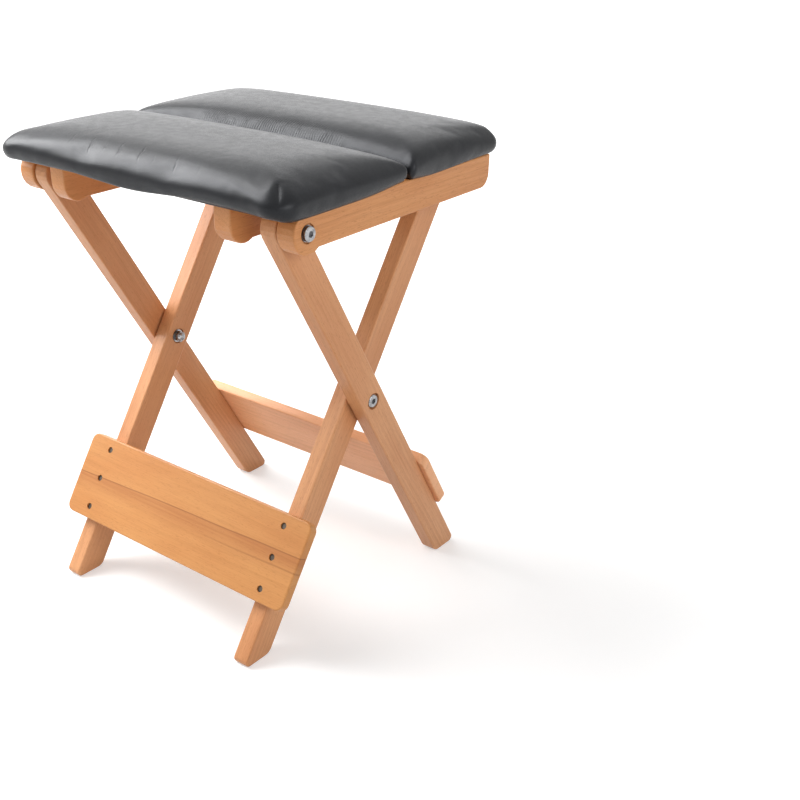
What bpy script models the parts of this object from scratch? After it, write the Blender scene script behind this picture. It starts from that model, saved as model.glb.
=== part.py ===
"""Folding stool: crossed wooden legs, two rails a side and a padded seat in two halves.

Metres, +Z up, +X the stool's right and -Y its front. The drawing's own datum is the middle of
the crossing bolts' axis, brought down to the floor. At the end the whole stool slides along Y,
so that the origin lies under the middle of its box.

The outer legs stay put. The inner legs turn about the crossing bolts, and the seat turns about
the two pivot bolts at the outer legs' tops.
"""

import math

import bmesh
import bpy
from mathutils import Vector

MM = 0.001
SIDES = {"left": -1, "right": 1}

# Clearances of pieces that touch
FACE_GAP = 0.3 * MM
BORE_GAP = 0.3 * MM

# Legs: lean is measured from the floor, reach from the crossing bolt along the leg
LEG_THICKNESS = 16.5 * MM
LEG_WIDTH = 29.6 * MM
CROSSING_HEIGHT = 217.5 * MM
INNER_LEG_LEAN = math.radians(56.0)
OUTER_LEG_LEAN = math.radians(58.75)
OUTER_LEG_REACH = 217.0 * MM
INNER_LEG_BELOW_RAIL_TOP = 26.9 * MM
TOE_RADIUS = 5.0 * MM
HEEL_RADIUS = 10.0 * MM

# Rails under the seat: the noses are discs that hang below the rails' bottom lines
INNER_RAIL_SPACING = 180.4 * MM
INNER_RAIL_THICKNESS = 18.3 * MM
OUTER_RAIL_THICKNESS = 18.3 * MM
RAIL_HEIGHT = 29.2 * MM
RAIL_ABOVE_LEG = 0.7 * MM
RAIL_BEYOND_LEG = 24.0 * MM
OUTER_NOSE_BEYOND_LEG = 3.0 * MM
OUTER_NOSE_SETBACK = 1.8 * MM
INNER_NOSE_AHEAD = 25.4 * MM
INNER_NOSE_BULGE = 2.5 * MM
NOSE_FILLET = 2.5 * MM
RAIL_CORNER_RADIUS = 12.0 * MM
RAIL_TOP_RADIUS = 1.5 * MM

# Play between the pieces of one side, from the inner rail outwards
RAIL_PLAY = 1.5 * MM
LEG_PLAY = 2.2 * MM

# Cross boards: rise runs up the legs' middle from the floor to a board's lower edge, and
# the screws' places run up the board from that edge
BOARD_CORNER_RADIUS = 8.5 * MM
FRONT_BOARD_THICKNESS = 10.5 * MM
FRONT_BOARD_WIDTH = 85.0 * MM
FRONT_BOARD_RISE = 54.35 * MM
FRONT_BOARD_OVERHANG = 3.0 * MM
FRONT_SCREW_PLACES = (73.2 * MM, 42.8 * MM, 12.1 * MM)
REAR_BOARD_THICKNESS = 10.5 * MM
REAR_BOARD_WIDTH = 76.0 * MM
REAR_BOARD_RISE = 61.7 * MM
REAR_BOARD_OVERHANG = 5.7 * MM
REAR_SCREW_PLACES = (56.7 * MM, 18.7 * MM)

# Seat: the front cushion starts ahead of the seat pivot, the back one ends behind the rails
CUSHION_AHEAD_OF_PIVOT = 38.4 * MM
CUSHION_BEHIND_RAILS = 8.6 * MM
FRONT_CUSHION_DEPTH = 159.0 * MM
CUSHION_GAP = 5.0 * MM
CUSHION_OVERHANG = 6.5 * MM
CUSHION_FRONT_RADIUS = 22.0 * MM
CUSHION_MEETING_RADIUS = 11.0 * MM
CUSHION_BACK_RADIUS = 13.0 * MM
CUSHION_DRAW_IN = 6.0 * MM
CUSHION_BULGE_HEIGHT = 9.0 * MM
CUSHION_CROWN = 28.0 * MM
CUSHION_SQUARENESS = 2.1
SEAT_BOARD_THICKNESS = 9.0 * MM
SEAT_BOARD_INSET = 9.5 * MM

# Blocks that the inner legs' tops bear in
REST_FRONT_ANGLE = math.radians(140.0)
REST_NOSE = 16.0 * MM
REST_LIFT = 1.7 * MM

# Bolts and nuts, six millimetre thread
BOLT_RADIUS = 3.0 * MM
BOLT_HEAD_RADIUS = 6.2 * MM
BOLT_HEAD_HEIGHT = 3.2 * MM
BOLT_CHAMFER = 0.8 * MM
SOCKET_FLATS = 5.0 * MM
SOCKET_DEPTH = 2.2 * MM
THREAD_END = 1.0 * MM
COUNTERBORE_RADIUS = 8.0 * MM
CROSSING_SINK = 3.5 * MM
NUT_SINK = 2.0 * MM
PIVOT_SINK = 2.0 * MM
WASHER_RADIUS = 6.6 * MM
WASHER_THICKNESS = 1.2 * MM
SPACER_RADIUS = 8.0 * MM
CAP_NUT_FLATS = 10.0 * MM
CAP_NUT_HEX = 4.5 * MM
CAP_NUT_HEIGHT = 8.0 * MM
CAP_NUT_DOME_RADIUS = 4.6 * MM
CAP_NUT_BORE = 6.0 * MM
SLEEVE_FLANGE_RADIUS = 6.5 * MM
SLEEVE_FLANGE = 1.5 * MM
SLEEVE_RADIUS = 4.3 * MM
SLEEVE_LENGTH = 10.0 * MM
SLEEVE_RECESS = 0.2 * MM

# Wood screws
SCREW_RADIUS = 1.75 * MM
SCREW_HEAD_RADIUS = 2.95 * MM
SCREW_HEAD_HEIGHT = 2.2 * MM
SCREW_POINT = 4.0 * MM
SCREW_TIP_RADIUS = 0.5 * MM
BOARD_SCREW_SINK = 4.0 * MM
BOARD_SCREW_BITE = 18.0 * MM
SEAT_SCREW_SINK = 12.0 * MM
SEAT_SCREW_BITE = 6.0 * MM
REST_SCREW_SINK = 6.0 * MM
REST_SCREW_BITE = 13.0 * MM

# Edges and facets
ARRIS = 1.3 * MM
ARRIS_SEGMENTS = 2
SHARP_ANGLE = math.radians(40.0)
ARC_STEP = math.radians(15.0)
BOLT_SEGMENTS = 24
SCREW_SEGMENTS = 12
CUTTER_OVERRUN = 1.0 * MM
CUSHION_STEP = 26.0 * MM
CUSHION_CORNER_STEPS = 4
CUSHION_UNDER_RINGS = 3
CUSHION_TOP_RINGS = 8
CUSHION_TOP_STOP = math.radians(78.0)

# Colours as the photo shows them, 0 to 255
LEG_COLOUR = (205, 150, 112)
RAIL_COLOUR = (192, 125, 80)
FRONT_BOARD_COLOUR = (222, 160, 100)
REAR_BOARD_COLOUR = (215, 155, 118)
PLYWOOD_COLOUR = (205, 170, 125)
LEATHER_COLOUR = (38, 39, 43)
STEEL_COLOUR = (200, 200, 198)
DARK_STEEL_COLOUR = (85, 78, 70)

RIGHT = Vector((1, 0, 0))
BACK = Vector((0, 1, 0))
UP = Vector((0, 0, 1))


def lane_beyond(lane, play, thickness):
    """The next stretch of X outwards from a lane, as (nearer, farther) from the middle."""
    start = lane[1] + play
    return (start, start + thickness)


INNER_RAIL_LANE = (INNER_RAIL_SPACING / 2, INNER_RAIL_SPACING / 2 + INNER_RAIL_THICKNESS)
INNER_LEG_LANE = lane_beyond(INNER_RAIL_LANE, RAIL_PLAY, LEG_THICKNESS)
OUTER_LEG_LANE = lane_beyond(INNER_LEG_LANE, LEG_PLAY, LEG_THICKNESS)
OUTER_RAIL_LANE = lane_beyond(OUTER_LEG_LANE, RAIL_PLAY, OUTER_RAIL_THICKNESS)

# The two legs of a side, as directions up the leg
INNER_LEG_UP = Vector((0, math.cos(INNER_LEG_LEAN), math.sin(INNER_LEG_LEAN)))
OUTER_LEG_UP = Vector((0, -math.cos(OUTER_LEG_LEAN), math.sin(OUTER_LEG_LEAN)))

# The outer legs carry the seat pivot, the rails lie level on it, and the inner legs are cut
# to reach under the rails
CROSSING = UP * CROSSING_HEIGHT
SEAT_PIVOT = CROSSING + OUTER_LEG_UP * OUTER_LEG_REACH
RAIL_TOP = SEAT_PIVOT.z + LEG_WIDTH / 2 + RAIL_ABOVE_LEG
RAIL_BOTTOM = RAIL_TOP - RAIL_HEIGHT
INNER_LEG_REACH = (RAIL_TOP - INNER_LEG_BELOW_RAIL_TOP - CROSSING.z) / INNER_LEG_UP.z
INNER_LEG_TOP = CROSSING + INNER_LEG_UP * INNER_LEG_REACH
RAIL_BACK = INNER_LEG_TOP.y + RAIL_BEYOND_LEG
SEAT_PLANE = RAIL_TOP + FACE_GAP
CUSHION_HALF_WIDTH = OUTER_RAIL_LANE[1] + CUSHION_OVERHANG


class Plane:
    """A flat sheet to draw on. Its normal is across x up."""

    def __init__(self, origin, across, up):
        self.origin = origin
        self.across = across
        self.up = up
        self.normal = across.cross(up)

    def at(self, a, b, c=0.0):
        return self.origin + self.across * a + self.up * b + self.normal * c


SIDE_VIEW = Plane(Vector((0, 0, 0)), BACK, UP)


def rounded(corners, radii):
    """A closed outline with each corner rounded to its radius, as points anticlockwise."""
    points = []
    for i, corner in enumerate(corners):
        corner = Vector(corner)
        before = (Vector(corners[i - 1]) - corner).normalized()
        after = (Vector(corners[(i + 1) % len(corners)]) - corner).normalized()
        half = before.angle(after) / 2
        centre = corner + (before + after).normalized() * (radii[i] / math.sin(half))
        start = math.atan2(-before.x, before.y)
        sweep = math.pi - 2 * half
        steps = max(1, math.ceil(sweep / ARC_STEP - 1e-6))
        for step in range(steps + 1):
            angle = start + math.pi + sweep * step / steps
            points.append(centre + Vector((math.cos(angle), math.sin(angle))) * radii[i])
    apart = [p for i, p in enumerate(points) if (p - points[i - 1]).length > 1e-6]
    return [(p.x, p.y) for p in apart]


def arc(centre, radius, start, end):
    """Points along an arc, from one angle to another."""
    steps = max(1, math.ceil(abs(end - start) / ARC_STEP - 1e-6))
    angles = (start + (end - start) * step / steps for step in range(steps + 1))
    return [(centre[0] + radius * math.cos(a), centre[1] + radius * math.sin(a)) for a in angles]


def ring_radius(radius, angle, flats):
    """The radius of a ring at an angle: round, or a polygon with this many flats."""
    if not flats:
        return radius
    half = math.pi / flats
    return radius / math.cos((angle % (2 * half)) - half)


def loft(bm, rings):
    """Joins rings of points, all of one count, into a closed skin with flat ends."""
    loops = [[bm.verts.new(point) for point in ring] for ring in rings]
    count = len(loops[0])
    for low, high in zip(loops, loops[1:]):
        for i in range(count):
            j = (i + 1) % count
            bm.faces.new((low[i], low[j], high[j], high[i]))
    bm.faces.new(loops[0][::-1])
    bm.faces.new(loops[-1])


def turned(bm, origin, axis, stations, segments):
    """A turned shape. A station is (distance along the axis, radius, flats or 0)."""
    plane = Plane(origin, UP if abs(axis.x) > 0.5 else RIGHT, Vector((0, 0, 0)))
    plane.up = axis.cross(plane.across)
    rings = []
    for distance, radius, flats in stations:
        ring = []
        for i in range(segments):
            angle = 2 * math.pi * i / segments
            reach = ring_radius(radius, angle, flats)
            spoke = plane.at(reach * math.cos(angle), reach * math.sin(angle))
            ring.append(spoke + axis * distance)
        rings.append(ring)
    loft(bm, rings)


class Piece:
    """One solid of the stool: its shape, the holes cut from it, its body and its finish."""

    made = {}

    def __init__(self, name, body, material, arris=0.0):
        self.name = name
        self.body = body
        self.material = material
        self.arris = arris
        self.shape = bmesh.new()
        self.holes = bmesh.new()
        Piece.made[name] = self

    def prism(self, plane, outline, low, high):
        loft(self.shape, [[plane.at(a, b, c) for a, b in outline] for c in (low, high)])

    def turn(self, origin, axis, stations, segments=BOLT_SEGMENTS):
        turned(self.shape, origin, axis, stations, segments)

    def drill(self, origin, axis, stations, segments=BOLT_SEGMENTS):
        turned(self.holes, origin, axis, stations, segments)

    def new_object(self, name, shape):
        bmesh.ops.translate(shape, verts=shape.verts, vec=-self.body["pivot"])
        bmesh.ops.recalc_face_normals(shape, faces=shape.faces)
        mesh = bpy.data.meshes.new(name)
        shape.to_mesh(mesh)
        shape.free()
        obj = bpy.data.objects.new(name, mesh)
        bpy.context.scene.collection.objects.link(obj)
        obj.parent = self.body["empty"]
        return obj

    def build(self):
        drilled = len(self.holes.faces) > 0
        obj = self.new_object(self.name, self.shape)
        obj.data.materials.append(self.material)
        obj.data.shade_smooth()
        obj.data.set_sharp_from_angle(angle=SHARP_ANGLE)
        if self.arris:
            bevel = obj.modifiers.new("Arris", "BEVEL")
            bevel.width = self.arris
            bevel.segments = ARRIS_SEGMENTS
            bevel.limit_method = "ANGLE"
            bevel.angle_limit = SHARP_ANGLE
        if drilled:
            cutter = self.new_object(self.name + "_holes", self.holes)
            cutter.hide_render = True
            cutter.display_type = "WIRE"
            cut = obj.modifiers.new("Holes", "BOOLEAN")
            cut.operation = "DIFFERENCE"
            cut.object = cutter
        return obj


def linear(value):
    """A colour channel of 0 to 255 as the linear value that a material takes."""
    value /= 255
    return value / 12.92 if value <= 0.04045 else ((value + 0.055) / 1.055) ** 2.4


def new_material(name, colour, roughness, metallic=0.0):
    material = bpy.data.materials.new(name)
    material.use_nodes = True
    shader = material.node_tree.nodes["Principled BSDF"]
    shader.inputs["Base Color"].default_value = (*map(linear, colour), 1.0)
    shader.inputs["Roughness"].default_value = roughness
    shader.inputs["Metallic"].default_value = metallic
    material.diffuse_color = shader.inputs["Base Color"].default_value
    return material


def new_body(name, pivot, parent):
    """An empty on a joint's axis, with the axis's place in the drawing."""
    empty = bpy.data.objects.new(name, None)
    bpy.context.scene.collection.objects.link(empty)
    empty.parent = parent
    empty.location = pivot
    return {"empty": empty, "pivot": pivot}


def across(side, lane):
    """A lane's stretch of X on one side, low end first."""
    return sorted((side * lane[0], side * lane[1]))


def on_side(side, x, point):
    """A point of the side view, moved out to x on one side."""
    return Vector((side * x, point.y, point.z))


def bar_outline(leg_up, reach):
    """A leg seen from the side: cut level at the floor, full round at the top."""
    half = LEG_WIDTH / 2
    level = half / leg_up.z
    foot = CROSSING - leg_up * (CROSSING_HEIGHT / leg_up.z)
    tip = CROSSING + leg_up * (reach + half)
    square = Vector((0, -leg_up.z, leg_up.y)) * half
    front_foot = (foot.y - level, 0.0)
    back_foot = (foot.y + level, 0.0)
    back_tip = tip - square
    front_tip = tip + square
    leans_back = leg_up.y > 0
    radii = (TOE_RADIUS, HEEL_RADIUS) if leans_back else (HEEL_RADIUS, TOE_RADIUS)
    corners = (front_foot, back_foot, (back_tip.y, back_tip.z), (front_tip.y, front_tip.z))
    return rounded(corners, (*radii, half, half))


def make_legs(bodies, wood):
    for word, side in SIDES.items():
        for kind, leg_up, reach, lane in (
            ("outer", OUTER_LEG_UP, OUTER_LEG_REACH, OUTER_LEG_LANE),
            ("inner", INNER_LEG_UP, INNER_LEG_REACH, INNER_LEG_LANE),
        ):
            leg = Piece(f"{kind}_leg_{word}", bodies[f"{kind}_legs"], wood, ARRIS)
            leg.prism(SIDE_VIEW, bar_outline(leg_up, reach), *across(side, lane))


def box_corners(low, high):
    """The corners of an upright box, anticlockwise from the low one."""
    return (low, (high[0], low[1]), high, (low[0], high[1]))


def rail_outline(nose_y, nose_radius, nose_top):
    """A rail from the side, its nose a disc level with the pivot, under the points nose_top."""
    down = SEAT_PIVOT.z - RAIL_BOTTOM + NOSE_FILLET
    behind = math.sqrt((nose_radius + NOSE_FILLET) ** 2 - down ** 2)
    meeting = math.atan2(-down, behind)
    start = math.atan2(nose_top[-1][1] - SEAT_PIVOT.z, nose_top[-1][0] - nose_y)
    low, high = RAIL_CORNER_RADIUS, RAIL_TOP_RADIUS
    return [
        *nose_top[:-1],
        *arc((nose_y, SEAT_PIVOT.z), nose_radius, start, 2 * math.pi + meeting)[:-1],
        *arc((nose_y + behind, SEAT_PIVOT.z - down), NOSE_FILLET, math.pi + meeting, math.pi / 2),
        *arc((RAIL_BACK - low, RAIL_BOTTOM + low), low, -math.pi / 2, 0.0),
        *arc((RAIL_BACK - high, RAIL_TOP - high), high, 0.0, math.pi / 2),
    ]


def make_rails(bodies, wood):
    outer_radius = LEG_WIDTH / 2 + OUTER_NOSE_BEYOND_LEG
    lift = RAIL_TOP - SEAT_PIVOT.z
    outer_y = SEAT_PIVOT.y + OUTER_NOSE_SETBACK
    clipped_at = (outer_y - math.sqrt(outer_radius ** 2 - lift ** 2), RAIL_TOP)
    outer = rail_outline(outer_y, outer_radius, [clipped_at])
    inner_radius = SEAT_PIVOT.z - RAIL_BOTTOM + INNER_NOSE_BULGE
    front = SEAT_PIVOT.y - INNER_NOSE_AHEAD
    corner = (front + RAIL_TOP_RADIUS, RAIL_TOP - RAIL_TOP_RADIUS)
    upright = [*arc(corner, RAIL_TOP_RADIUS, math.pi / 2, math.pi), (front, SEAT_PIVOT.z)]
    inner = rail_outline(front + inner_radius, inner_radius, upright)
    for word, side in SIDES.items():
        for kind, outline, lane in (
            ("outer", outer, OUTER_RAIL_LANE),
            ("inner", inner, INNER_RAIL_LANE),
        ):
            rail = Piece(f"{kind}_rail_{word}", bodies["seat"], wood, ARRIS)
            rail.prism(SIDE_VIEW, outline, *across(side, lane))


def leg_face(leg_up, sideways):
    """The face of a leg that a cross board lies on, with its origin level with the bolt."""
    face = Plane(CROSSING, sideways, leg_up)
    face.origin = CROSSING + face.normal * (LEG_WIDTH / 2)
    return face


FRONT_FACE = leg_face(INNER_LEG_UP, RIGHT)
REAR_FACE = leg_face(OUTER_LEG_UP, -RIGHT)


def make_cross_board(name, body, wood, face, overhang, low_edge, width, thickness):
    half = OUTER_LEG_LANE[1] + overhang
    corners = box_corners((-half, low_edge), (half, low_edge + width))
    outline = rounded(corners, [BOARD_CORNER_RADIUS] * 4)
    board = Piece(name, body, wood, ARRIS)
    board.prism(face, outline, FACE_GAP, FACE_GAP + thickness)


def drive_screw(name, body, steel, head_side, axis, outer, sink, wall, inner, bite):
    """A screw sunk in the piece `outer`, whose wall it passes, and biting into `inner`."""
    head_bore = SCREW_HEAD_RADIUS + BORE_GAP
    bore = SCREW_RADIUS + BORE_GAP
    neck = sink - FACE_GAP
    tip = wall + FACE_GAP + bite
    screw = Piece(name, body, steel)
    stations = (
        (neck - SCREW_HEAD_HEIGHT, SCREW_HEAD_RADIUS, 0),
        (neck, SCREW_HEAD_RADIUS, 0),
        (neck, SCREW_RADIUS, 0),
        (tip - SCREW_POINT, SCREW_RADIUS, 0),
        (tip, SCREW_TIP_RADIUS, 0),
    )
    screw.turn(head_side, axis, stations, SCREW_SEGMENTS)
    clearance_hole = (
        (-CUTTER_OVERRUN, head_bore, 0),
        (sink, head_bore, 0),
        (sink, bore, 0),
        (wall + CUTTER_OVERRUN, bore, 0),
    )
    Piece.made[outer].drill(head_side, axis, clearance_hole, SCREW_SEGMENTS)
    pilot_hole = ((wall - CUTTER_OVERRUN, bore, 0), (tip + BORE_GAP, bore, 0))
    Piece.made[inner].drill(head_side, axis, pilot_hole, SCREW_SEGMENTS)


def make_boards(bodies, front_wood, rear_wood, steel):
    boards = (
        ("front", "inner", FRONT_FACE, front_wood, FRONT_BOARD_OVERHANG, FRONT_BOARD_RISE,
         FRONT_BOARD_WIDTH, FRONT_BOARD_THICKNESS, FRONT_SCREW_PLACES, INNER_LEG_LANE),
        ("rear", "outer", REAR_FACE, rear_wood, REAR_BOARD_OVERHANG, REAR_BOARD_RISE,
         REAR_BOARD_WIDTH, REAR_BOARD_THICKNESS, REAR_SCREW_PLACES, OUTER_LEG_LANE),
    )
    for name, legs, face, wood, overhang, rise, width, thickness, places, lane in boards:
        body = bodies[f"{legs}_legs"]
        low_edge = rise - CROSSING_HEIGHT / face.up.z
        make_cross_board(f"{name}_board", body, wood, face, overhang, low_edge, width, thickness)
        for word, side in SIDES.items():
            x = side * face.across.x * sum(lane) / 2
            for number, place in enumerate(places, 1):
                drive_screw(
                    f"{name}_board_screw_{word}_{number}", body, steel,
                    face.at(x, low_edge + place, FACE_GAP + thickness), -face.normal,
                    f"{name}_board", BOARD_SCREW_SINK, thickness,
                    f"{legs}_leg_{word}", BOARD_SCREW_BITE,
                )


def cushion_border(front, back, front_radius, back_radius):
    """Points round a cushion's widest line, each with its outward direction."""
    half = CUSHION_HALF_WIDTH
    centres = (
        (half - front_radius, front + front_radius, front_radius),
        (half - back_radius, back - back_radius, back_radius),
        (back_radius - half, back - back_radius, back_radius),
        (front_radius - half, front + front_radius, front_radius),
    )
    corners = []
    for quarter, (x, y, radius) in enumerate(centres):
        arc = []
        for step in range(CUSHION_CORNER_STEPS + 1):
            angle = math.pi / 2 * (quarter - 1 + step / CUSHION_CORNER_STEPS)
            outward = Vector((math.cos(angle), math.sin(angle)))
            arc.append((Vector((x, y)) + outward * radius, outward))
        corners.append(arc)
    border = []
    for arc, following in zip(corners, corners[1:] + corners[:1]):
        border += arc
        (start, outward), end = arc[-1], following[0][0]
        steps = math.ceil((end - start).length / CUSHION_STEP)
        border += [(start.lerp(end, i / steps), outward) for i in range(1, steps)]
    return border


def inset_ring(border, inset, height):
    return [(*(point - outward * inset), SEAT_PLANE + height) for point, outward in border]


def cushion_rings(border, front, back):
    """The skin from the board's pocket round the drawn-in edge and over the crown."""
    pocket = SEAT_BOARD_INSET - FACE_GAP
    rings = [
        inset_ring(border, pocket, SEAT_BOARD_THICKNESS + FACE_GAP),
        inset_ring(border, pocket, 0.0),
    ]
    for i in range(CUSHION_UNDER_RINGS):
        angle = math.pi / 2 * i / CUSHION_UNDER_RINGS
        inset = CUSHION_DRAW_IN * (1 - math.sin(angle))
        rings.append(inset_ring(border, inset, CUSHION_BULGE_HEIGHT * (1 - math.cos(angle))))
    middle = (front + back) / 2
    ridge = CUSHION_HALF_WIDTH - (back - front) / 2
    power = CUSHION_SQUARENESS
    for i in range(CUSHION_TOP_RINGS + 1):
        inwards = 1 - math.cos(CUSHION_TOP_STOP * i / CUSHION_TOP_RINGS)
        rise = (1 - (1 - inwards) ** power) ** (1 / power)
        height = CUSHION_BULGE_HEIGHT + (CUSHION_CROWN - CUSHION_BULGE_HEIGHT) * rise
        ring = []
        for point, _ in border:
            target = Vector((max(-ridge, min(ridge, point.x)), middle))
            ring.append((*point.lerp(target, inwards), SEAT_PLANE + height))
        rings.append(ring)
    return rings


def make_seat(bodies, leather, plywood, steel):
    body = bodies["seat"]
    front = SEAT_PIVOT.y - CUSHION_AHEAD_OF_PIVOT
    front_end = front + FRONT_CUSHION_DEPTH
    back_start = front_end + CUSHION_GAP
    back = RAIL_BACK + CUSHION_BEHIND_RAILS
    plan = Plane(Vector((0, 0, SEAT_PLANE)), RIGHT, BACK)
    lanes = {"inner": INNER_RAIL_LANE, "outer": OUTER_RAIL_LANE}
    for name, low, high, low_radius, high_radius in (
        ("front", front, front_end, CUSHION_FRONT_RADIUS, CUSHION_MEETING_RADIUS),
        ("back", back_start, back, CUSHION_MEETING_RADIUS, CUSHION_BACK_RADIUS),
    ):
        border = cushion_border(low, high, low_radius, high_radius)
        cushion = Piece(f"{name}_cushion", body, leather)
        loft(cushion.shape, cushion_rings(border, low, high))
        board = Piece(f"{name}_seat_board", body, plywood)
        outline = [tuple(point - outward * SEAT_BOARD_INSET) for point, outward in border]
        board.prism(plan, outline, 0.0, SEAT_BOARD_THICKNESS)
        for word, side in SIDES.items():
            for kind, lane in lanes.items():
                drive_screw(
                    f"{name}_seat_screw_{kind}_{word}", body, steel,
                    Vector((side * sum(lane) / 2, (low + high) / 2, RAIL_BOTTOM)), UP,
                    f"{kind}_rail_{word}", SEAT_SCREW_SINK, RAIL_HEIGHT,
                    f"{name}_seat_board", SEAT_SCREW_BITE,
                )


def make_leg_rests(bodies, wood, steel):
    """Blocks behind the inner rails, hollowed to the round of the inner legs' tops."""
    radius = LEG_WIDTH / 2 + FACE_GAP
    bottom = RAIL_BOTTOM + REST_LIFT
    top = INNER_LEG_TOP
    lip = math.asin((bottom - top.z) / radius)
    nose = top.y - REST_NOSE
    steps = math.ceil((REST_FRONT_ANGLE - lip) / ARC_STEP)
    cove = []
    for step in range(steps + 1):
        angle = lip + (REST_FRONT_ANGLE - lip) * step / steps
        cove.append((top.y + radius * math.cos(angle), top.z + radius * math.sin(angle)))
    outline = [(nose, RAIL_TOP), (nose, cove[-1][1]), *cove[::-1], (RAIL_BACK, bottom)]
    outline.append((RAIL_BACK, RAIL_TOP))
    near = INNER_RAIL_LANE[1] + FACE_GAP
    screw_height = (top.z + radius + RAIL_TOP) / 2
    for word, side in SIDES.items():
        rest = Piece(f"leg_rest_{word}", bodies["seat"], wood)
        rest.prism(SIDE_VIEW, outline, *across(side, (near, INNER_LEG_LANE[1])))
        drive_screw(
            f"leg_rest_screw_{word}", bodies["seat"], steel,
            Vector((side * INNER_RAIL_LANE[0], top.y, screw_height)), RIGHT * side,
            f"inner_rail_{word}", REST_SCREW_SINK, INNER_RAIL_THICKNESS,
            f"leg_rest_{word}", REST_SCREW_BITE,
        )


def make_washer(name, body, steel, point, axis, thickness, radius):
    """A flat ring whose inner face is at the point, with the bolt's hole."""
    washer = Piece(name, body, steel)
    washer.turn(point, axis, ((0.0, radius, 0), (thickness, radius, 0)))
    bore = BOLT_RADIUS + BORE_GAP
    hole = ((-CUTTER_OVERRUN, bore, 0), (thickness + CUTTER_OVERRUN, bore, 0))
    washer.drill(point, axis, hole)


def make_bolt(name, body, steel, seat, axis, shank):
    """A bolt whose head stands on its seat, with the shank running back along the axis."""
    bolt = Piece(name, body, steel)
    stations = (
        (-shank, BOLT_RADIUS - THREAD_END, 0),
        (THREAD_END - shank, BOLT_RADIUS, 0),
        (0.0, BOLT_RADIUS, 0),
        (0.0, BOLT_HEAD_RADIUS, 0),
        (BOLT_HEAD_HEIGHT - BOLT_CHAMFER, BOLT_HEAD_RADIUS, 0),
        (BOLT_HEAD_HEIGHT, BOLT_HEAD_RADIUS - BOLT_CHAMFER, 0),
    )
    bolt.turn(seat, axis, stations)
    flats = SOCKET_FLATS / 2
    socket = (
        (BOLT_HEAD_HEIGHT - SOCKET_DEPTH, flats, 6),
        (BOLT_HEAD_HEIGHT + CUTTER_OVERRUN, flats, 6),
    )
    bolt.drill(seat, axis, socket)


def make_crossing_bolts(bodies, steel):
    """Bolt, spacer, washer and cap nut where the legs cross."""
    body = bodies["outer_legs"]
    bore = BOLT_RADIUS + BORE_GAP
    outside = OUTER_LEG_LANE[1]
    inside = INNER_LEG_LANE[0]
    head_seat = outside - CROSSING_SINK + FACE_GAP
    nut_floor = inside + NUT_SINK
    nut_seat = nut_floor - 2 * FACE_GAP - WASHER_THICKNESS
    nut_bottom = nut_seat - CAP_NUT_BORE
    for word, side in SIDES.items():
        out = RIGHT * side
        leg_hole = (
            (OUTER_LEG_LANE[0] - CUTTER_OVERRUN, bore, 0),
            (outside - CROSSING_SINK, bore, 0),
            (outside - CROSSING_SINK, COUNTERBORE_RADIUS, 0),
            (outside + CUTTER_OVERRUN, COUNTERBORE_RADIUS, 0),
        )
        Piece.made[f"outer_leg_{word}"].drill(CROSSING, out, leg_hole)
        nut_hole = (
            (inside - CUTTER_OVERRUN, COUNTERBORE_RADIUS, 0),
            (nut_floor, COUNTERBORE_RADIUS, 0),
            (nut_floor, bore, 0),
            (INNER_LEG_LANE[1] + CUTTER_OVERRUN, bore, 0),
        )
        Piece.made[f"inner_leg_{word}"].drill(CROSSING, out, nut_hole)
        make_bolt(
            f"crossing_bolt_{word}", body, steel, on_side(side, head_seat, CROSSING), out,
            head_seat - nut_bottom - BORE_GAP,
        )
        make_washer(
            f"crossing_spacer_{word}", body, steel,
            on_side(side, INNER_LEG_LANE[1] + FACE_GAP, CROSSING), out,
            LEG_PLAY - 2 * FACE_GAP, SPACER_RADIUS,
        )
        make_washer(
            f"crossing_washer_{word}", body, steel,
            on_side(side, nut_floor - FACE_GAP - WASHER_THICKNESS, CROSSING), out,
            WASHER_THICKNESS, WASHER_RADIUS,
        )
        nut = Piece(f"crossing_cap_nut_{word}", body, steel)
        dome = CAP_NUT_HEIGHT - CAP_NUT_HEX
        stations = (
            (0.0, CAP_NUT_FLATS / 2, 6),
            (CAP_NUT_HEX, CAP_NUT_FLATS / 2, 6),
            (CAP_NUT_HEX, CAP_NUT_DOME_RADIUS, 0),
            *((CAP_NUT_HEX + dome * math.sin(a), CAP_NUT_DOME_RADIUS * math.cos(a), 0)
              for a in map(math.radians, (30, 55, 78))),
        )
        seat = on_side(side, nut_seat, CROSSING)
        nut.turn(seat, -out, stations)
        nut.drill(seat, -out, ((-CUTTER_OVERRUN, bore, 0), (CAP_NUT_BORE, bore, 0)))


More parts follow.
